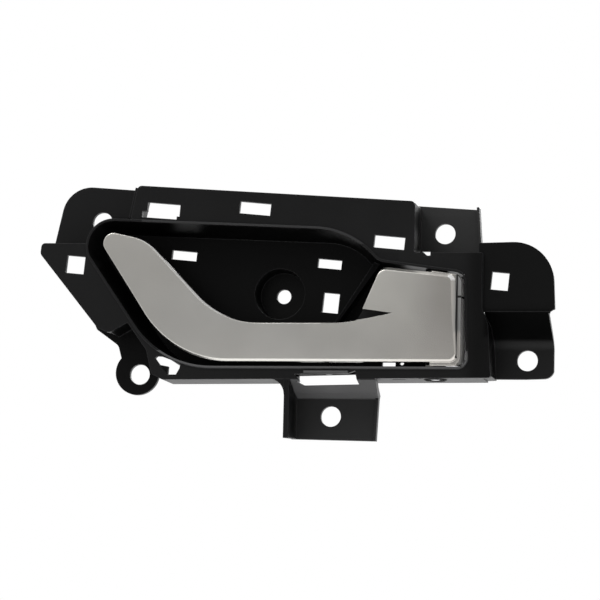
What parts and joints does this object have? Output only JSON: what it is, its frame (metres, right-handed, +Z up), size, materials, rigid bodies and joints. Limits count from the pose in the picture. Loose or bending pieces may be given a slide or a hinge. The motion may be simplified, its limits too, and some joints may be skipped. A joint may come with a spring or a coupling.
{
  "type": "car interior door handle",
  "caption": "Inside door handle for a car: black moulded housing with a finger bowl, fixing tabs and ears, and a chrome-plated boomerang lever that swings on an upright pin.",
  "frame": {"origin": "axis of the centre fixing hole, on the mounting face at the back of its boss", "axes": "+X along the handle towards the hinge end, +Z up, the face looks along -Y"},
  "size_m": [0.2335, 0.039, 0.1158],
  "materials": {
    "housing": "fine grained black moulding",
    "plated": "satin chrome plating",
    "carrier": "black moulding",
    "pin": "bright steel",
    "bush": "natural acetal",
    "spring": "spring wire",
    "arm": "zinc plated sheet",
    "screw": "zinc plated",
    "anchor": "natural nylon",
    "rubber": "soft rubber"
  },
  "bodies": {
    "housing": {"housing": "housing", "pivot_pin": "pin", "pin_retainer": "spring", "return_spring": "spring", "spring_sleeve": "bush", "cable_anchor": "anchor", "rest_buffers": "rubber", "stop_buffer": "rubber"},
    "lever": {"lever_shell": "plated", "lever_core": "carrier", "upper_bush": "bush", "lower_bush": "bush", "release_arm": "arm", "arm_screws": "screw", "shell_screws": "screw"}
  },
  "joints": [
    {"name": "lever_pull", "type": "hinge", "parent": "housing", "child": "lever", "pos_m": [0.0735, -0.025, 0], "axis": [0, 0, 1], "range_deg": [0, 32], "stiffness_Nm_per_rad": 0.25, "springref_deg": -28.65, "deforming": ["return_spring"]}
  ]
}
